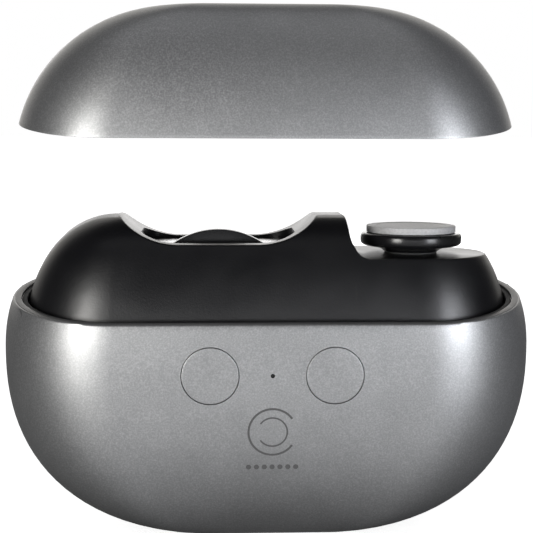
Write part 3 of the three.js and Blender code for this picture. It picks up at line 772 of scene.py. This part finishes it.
def step_z(x):
    """Height of the step down to the shelf on the right: a steep wall, then a fillet."""
    centre, radius = STEP["centre"], STEP["radius"]
    fillet_x = centre[0] + radius * math.cos(STEP["from"])
    if x >= centre[0]:
        return SHELF_Z
    if x >= fillet_x:
        return centre[1] - math.sqrt(radius**2 - (x - centre[0]) ** 2)
    fillet_top = (fillet_x, centre[1] + radius * math.sin(STEP["from"]))
    corners = [*STEP["wall"], fillet_top]
    for (x0, z0), (x1, z1) in zip(corners, corners[1:]):
        if x <= x1 or (x1, z1) == fillet_top:
            return z0 + (z1 - z0) * (x - x0) / (x1 - x0)


def dome_top(x):
    """Height at which the uncut dome closes over x."""
    if abs(x) <= DECK_FLAT[0]:
        return DECK["top"]
    share = (abs(x) - DECK_FLAT[0]) / (DECK["length"] - DECK_FLAT[0])
    v = max(0.0, 1 - min(share, 1.0) ** DECK["round"]) ** (1 / DECK["round"])
    return DECK["centre"] + v * (DECK["top"] - DECK["centre"])


def dome_y(x, z):
    """Half-depth of the uncut dome at x and height z."""
    length, depth = deck_size(z)
    end = END_LENGTH * depth
    out = max(abs(x) - (length - end), 0) / end
    return depth * math.sqrt(max(0.0, 1 - min(out, 1.0) ** 2))


def deck_section(x, side_steps=20, top_steps=8, corner=0.4):
    """Points of the deck's outline across x, from the front skirt over the top to the back."""
    top = max(DECK["skirt"], dome_top(x))
    for height in (valley_z(x), step_z(x)):
        top = smooth_min(height, top, CREST_BLEND)
    top = max(top, DECK["skirt"])
    reach = top - DECK["skirt"]
    drop = min(corner, reach * 0.3)
    edge_y = dome_y(x, top)
    before = (dome_y(x, top - drop), top - drop)
    after = (edge_y - min(corner, edge_y * 0.5), top)
    side = []
    for step in range(side_steps):
        z = DECK["skirt"] + (reach - drop) * math.sin(math.pi / 2 * step / side_steps)
        side.append((dome_y(x, z), z))
    half = side + soft_corner((edge_y, top), before, after, 4)
    flat = [(after[0] * (1 - 2 * step / top_steps), top) for step in range(1, top_steps)]
    whole = [(-y, z) for y, z in half] + [(-y, z) for y, z in flat] + half[::-1]
    return [(x, y, z) for y, z in whole]


def between(low, high, count):
    """Even steps from low, stopping short of high."""
    return [low + (high - low) * step / count for step in range(count)]


def deck_stations():
    """Where the deck is cut across: closer together at its ends, edges and fillets."""
    longest = DECK["length"] * 0.99975
    end_from, count = 32.0, 26
    ends = [
        end_from + (longest - end_from) * math.sin(math.pi / 2 * step / count)
        for step in range(count + 1)
    ]
    left = [-x for x in ends[::-1]]
    right = [x for x in ends if x > 33.0] + between(44.2, 46.6, 10)
    middle = (
        between(-31.9, -29.4, 9)
        + between(-29.4, -18.5, 16)
        + between(-18.5, -2.5, 8)
        + between(-2.5, 8.6, 16)
        + between(8.6, 11.2, 10)
        + between(11.2, 14.8, 3)
        + between(14.8, 17.0, 22)
        + between(17.0, 20.1, 12)
        + between(20.1, 33.0, 8)
    )
    return sorted(left + middle + right)


def make_deck():
    """The dome with its saddle, step and shelf, the wheel's pocket and the head's bore."""
    rings = [deck_section(x) for x in deck_stations()]
    deck = loft("deck_cover", rings, closed=False, capped=False)
    modified(deck, "SOLIDIFY", thickness=DECK_WALL, offset=-1.0, use_even_offset=True)
    pocket = slit_box(
        "pocket",
        (POCKET["x"] - POCKET["half"], POCKET["front"], 55.0),
        (POCKET["x"] + POCKET["half"], POCKET["back"], 80.0),
    )
    mesh = edit(pocket, "EDGE")
    pick(pocket, mesh.edges, lambda edge: abs(edge.verts[0].co.z - edge.verts[1].co.z) > 5)
    bpy.ops.mesh.bevel(offset=POCKET["corner"], segments=14, affect="EDGES")
    leave()
    bore = round_cutter("bore", HEAD_BORE, (HEAD_X, 0, 50), (HEAD_X, 0, 64), steps=64)
    return carve(deck, pocket, bore)


finished(make_deck(), "pod", "deck_plastic", "deck_housing", angle=28)


# ------------------------------------------------------------------ buttons, light and mark
def make_button(side):
    """A cap that follows the casing's front, with a softened edge."""
    radius, thick = BUTTON["radius"], BUTTON["thick"]
    rings = []
    outline = [(0.0, 0.0), (radius, 0.0), (radius, thick), (0.0, thick)]
    section = soft_profile(outline, BUTTON["corner"], 3)
    spots = [(radius * share, 0.0) for share in (0.2, 0.4, 0.6, 0.8, 0.92)]
    for r, depth in [(0.0, 0.0), *spots, *section[1:]]:
        ring = []
        for step in range(TURN_STEPS):
            angle = math.tau * step / TURN_STEPS
            x, z = r * math.cos(angle), BUTTON["z"] + r * math.sin(angle)
            ring.append((side * BUTTON["x"] + x, front_y(z) + depth, z))
        rings.append(ring)
    return loft(("left" if side < 0 else "right") + "_cap", rings, capped=False)


finished(make_button(-1), "left_button_body", "silver_paint", "left_button", angle=40)
finished(make_button(1), "right_button_body", "silver_paint", "right_button", angle=40)

light = turned("light_tip", LIGHT_TIP, (0, 0, BUTTON["z"]), "Y", 24)
finished(light, "pod", "light_pipe", "status_light")


def mark_ring(name, radius, width, centre_z, start_angle=0.0, sweep=math.tau):
    """A flat inlaid stroke along an arc on the casing's front."""
    sunk, proud = -MARK["sunk"], MARK["proud"]
    whole = sweep >= math.tau - 1e-6
    rings = []
    for step in range(TURN_STEPS if whole else TURN_STEPS + 1):
        angle = start_angle + sweep * step / TURN_STEPS
        ring = []
        for out, lift in ((-0.5, sunk), (0.5, sunk), (0.5, proud), (-0.5, proud)):
            reach = radius + out * width
            z = centre_z + reach * math.sin(angle)
            ring.append((reach * math.cos(angle), front_y(z) - lift, z))
        rings.append(ring)
    if whole:
        rings.append(rings[0])
    return loft(name, rings, capped=not whole)


def make_mark():
    """A plain generic mark: two open rings, and a row of dots under them."""
    height, sweep = MARK["z"], MARK["sweep"]
    strokes = [
        mark_ring("front_mark", 4.7, 0.42, height, math.radians(35), sweep),
        mark_ring("inner", 2.9, 0.32, height, math.radians(-145), sweep),
    ]
    for index in range(DOTS["count"]):
        dot = mark_ring("dot", DOTS["radius"], DOTS["width"], DOTS["z"])
        place = (index - DOTS["count"] // 2) * DOTS["pitch"]
        dot.data.transform(Matrix.Translation((place, 0, 0)))
        strokes.append(dot)
    select_only(*strokes)
    bpy.ops.object.join()
    return strokes[0]


finished(make_mark(), "pod", "ring_trim", material=mark_grey)

# ------------------------------------------------------------------ wheel and finishing head
front, back = WHEEL["front"], WHEEL["back"]
groove = front + WHEEL_GROOVE["depth"]
WHEEL_PROFILE = [
    (WHEEL["bore"], front),
    (WHEEL_GROOVE["inner"], front),
    (WHEEL_GROOVE["inner"] + WHEEL_GROOVE["slope"], groove),
    (WHEEL_GROOVE["outer"] - WHEEL_GROOVE["slope"], groove),
    (WHEEL_GROOVE["outer"], front),
    (WHEEL["radius"], front),
    (WHEEL["radius"], back),
    (WHEEL["bore"], back),
]
WHEEL_CENTRE = (WHEEL["x"], 0, WHEEL["z"])
HEAD_CENTRE = (HEAD_X, 0, 0)
disc = turned("guide_wheel", soft_profile(WHEEL_PROFILE, 0.28), WHEEL_CENTRE, "Y", WHEEL_STEPS)
finished(disc, "wheel", "gloss_black", "guide_disc")

collar = turned("head_skirt", soft_profile(COLLAR, 0.5), HEAD_CENTRE, steps=LARGE_TURN_STEPS)
finished(collar, "finishing_head", "gloss_black", "head_collar")

pad = turned("head_disc", soft_profile(PAD, 0.22), HEAD_CENTRE, steps=LARGE_TURN_STEPS)
finished(pad, "finishing_head", "grey_pad", "head_pad")

seal = turned("shelf_seal", soft_profile(SHELF_SEAL, 0.08), HEAD_CENTRE)
finished(seal, "pod", "rubber", "spindle_seal")


# ------------------------------------------------------------------ studio, metres
MIDDLE = (0, 0, 0.06)
FLOOR_SHEEN = (0.02, 0.07, 0.05, 0.52)  # painted glow that the pieces mirror: dark under the pod as painted shadow, paler away
FLOOR_SIDES = 0.15  # share of that sheen left beside and behind the pod
ROOM_TONE = (0.04, 0.04, 0.044)
BEHIND_TONE = (0.95, 0.92, 0.87)
SOFTBOXES = {  # azimuth, distance, height, (width, height), watts, colour
    "left_softbox": (-37, 0.5, 0.085, (0.16, 0.17), 1.22, (1.0, 0.985, 0.95)),
    "right_softbox": (40, 0.5, 0.075, (0.16, 0.15), 0.93, (0.93, 0.95, 1.0)),
    "front_softbox": (0, 0.7, 0.04, (0.6, 0.07), 0.18, (0.97, 0.98, 1.0)),
    "top_softbox": (0, 0.1, 0.6, (0.6, 0.4), 0.18, (0.98, 0.98, 1.0)),
    "rear_softbox": (180, 0.7, 0.16, (0.7, 0.3), 0.9, (0.98, 0.98, 1.0)),
}
CAMERA = {
    "azimuth": -2.6,
    "pitch": 6.72,
    "roll": 0.2,
    "distance": 0.2429,
    "aim": (-0.00032, 0.0, 0.05534),
}
SENSOR_MM = 36.0
LENS_MM = SENSOR_MM * 1150.0 / 533.0


def make_floor():
    """Pale floor: white to the camera, with its glow a little lower where the object stands as
    painted shade, under which the lamps' real shadow shows. To every other ray it is a painted glow:
    dark under the pod as painted shadow, paler away and in front.
    """
    floor = start("plane", "studio_floor", size=30)
    material = bpy.data.materials.new("studio_white")
    material.use_nodes = True
    tree = material.node_tree
    tree.nodes.clear()
    path = add_node(tree, "LightPath")
    place = add_node(tree, "TexCoord").outputs["Object"]
    away = add_node(tree, "VectorMath", [(0, place)], operation="LENGTH").outputs["Value"]
    # Painted shade: the glow is lower near where the object stands, so the lamps' real shadow shows
    # there.
    shade = span(tree, away, 0.045, 0.12, 0.84, 1.0)
    paper = add_node(tree, "BsdfDiffuse", [("Color", rgba(0.8, 0.8, 0.8))])
    glow = add_node(tree, "Emission", [("Color", rgba(1, 1, 1)), ("Strength", shade)])
    seen = add_node(tree, "AddShader", [(0, paper.outputs[0]), (1, glow.outputs[0])])
    # Painted glow for what the pieces mirror: painted shadow under the pod, paler away, and mostly
    # in front of it.
    sheen = span(tree, away, *FLOOR_SHEEN)
    forward = add_node(tree, "SeparateXYZ", [(0, place)]).outputs["Y"]
    forward = add_node(tree, "Math", [(0, forward), (1, away)], operation="DIVIDE").outputs[0]
    to_front = span(tree, forward, -0.85, -0.4, 1.0, FLOOR_SIDES)
    sheen = add_node(tree, "Math", [(0, sheen), (1, to_front)], operation="MULTIPLY").outputs[0]
    painted_floor_glow = add_node(tree, "Emission", [("Color", rgba(0.98, 0.98, 1.0)), ("Strength", sheen)])
    choice = add_node(
        tree,
        "MixShader",
        [(0, path.outputs["Is Camera Ray"]), (1, painted_floor_glow.outputs[0]), (2, seen.outputs[0])],
    )
    output = add_node(tree, "OutputMaterial")
    tree.links.new(choice.outputs[0], output.inputs["Surface"])
    floor.data.materials.append(material)


def make_world():
    """White to the camera. What the pieces mirror is bright behind the object, dim elsewhere."""
    world = bpy.data.worlds.new("studio")
    bpy.context.scene.world = world
    world.use_nodes = True
    tree = world.node_tree
    tree.nodes.clear()
    heading = add_node(tree, "TexCoord").outputs["Generated"]
    backwards = add_node(tree, "SeparateXYZ", [(0, heading)]).outputs["Y"]
    behind = span(tree, backwards, 0.50, 0.85, 0.0, 1.0)
    tone = colour_mix(tree, behind, rgba(*ROOM_TONE), rgba(*BEHIND_TONE))
    around = add_node(tree, "Background", [("Color", tone), ("Strength", 1.0)])
    white = add_node(tree, "Background", [("Color", rgba(1, 1, 1)), ("Strength", 1.0)])
    path = add_node(tree, "LightPath")
    choice = add_node(
        tree,
        "MixShader",
        [(0, path.outputs["Is Camera Ray"]), (1, around.outputs[0]), (2, white.outputs[0])],
    )
    output = add_node(tree, "OutputWorld")
    tree.links.new(choice.outputs[0], output.inputs["Surface"])


def add_softbox(name, place, size, power, colour):
    """An area light at a place, facing the middle of the object."""
    lamp = bpy.data.lights.new(name, "AREA")
    lamp.shape = "RECTANGLE"
    lamp.size, lamp.size_y = size
    lamp.energy = power
    lamp.color = colour
    holder = bpy.data.objects.new(name, lamp)
    bpy.context.scene.collection.objects.link(holder)
    holder.location = place
    facing = Vector(place) - Vector(MIDDLE)
    holder.rotation_euler = facing.to_track_quat("Z", "Y").to_euler()


def round_the_side(azimuth, distance, height):
    """A place round the object: azimuth 0 is in front, positive to the right."""
    turn = math.radians(azimuth)
    return (distance * math.sin(turn), -distance * math.cos(turn), height)


def make_camera():
    """The camera looks down a little, from the front and slightly left."""
    eye = bpy.data.cameras.new("camera")
    eye.lens = LENS_MM
    eye.sensor_width = SENSOR_MM
    eye.clip_start = 0.01
    camera = bpy.data.objects.new("camera", eye)
    bpy.context.scene.collection.objects.link(camera)
    turn, lift = math.radians(CAMERA["azimuth"]), math.radians(CAMERA["pitch"])
    level = math.cos(lift)
    away = Vector((math.sin(turn) * level, -math.cos(turn) * level, math.sin(lift)))
    camera.location = Vector(CAMERA["aim"]) + away * CAMERA["distance"]
    roll = Quaternion((0, 0, 1), math.radians(CAMERA["roll"]))
    camera.rotation_euler = (away.to_track_quat("Z", "Y") @ roll).to_euler()
    bpy.context.scene.camera = camera
    bpy.context.scene.view_settings.view_transform = "Standard"


make_floor()
make_world()
for name, (azimuth, distance, height, size, power, colour) in SOFTBOXES.items():
    add_softbox(name, round_the_side(azimuth, distance, height), size, power, colour)
make_camera()
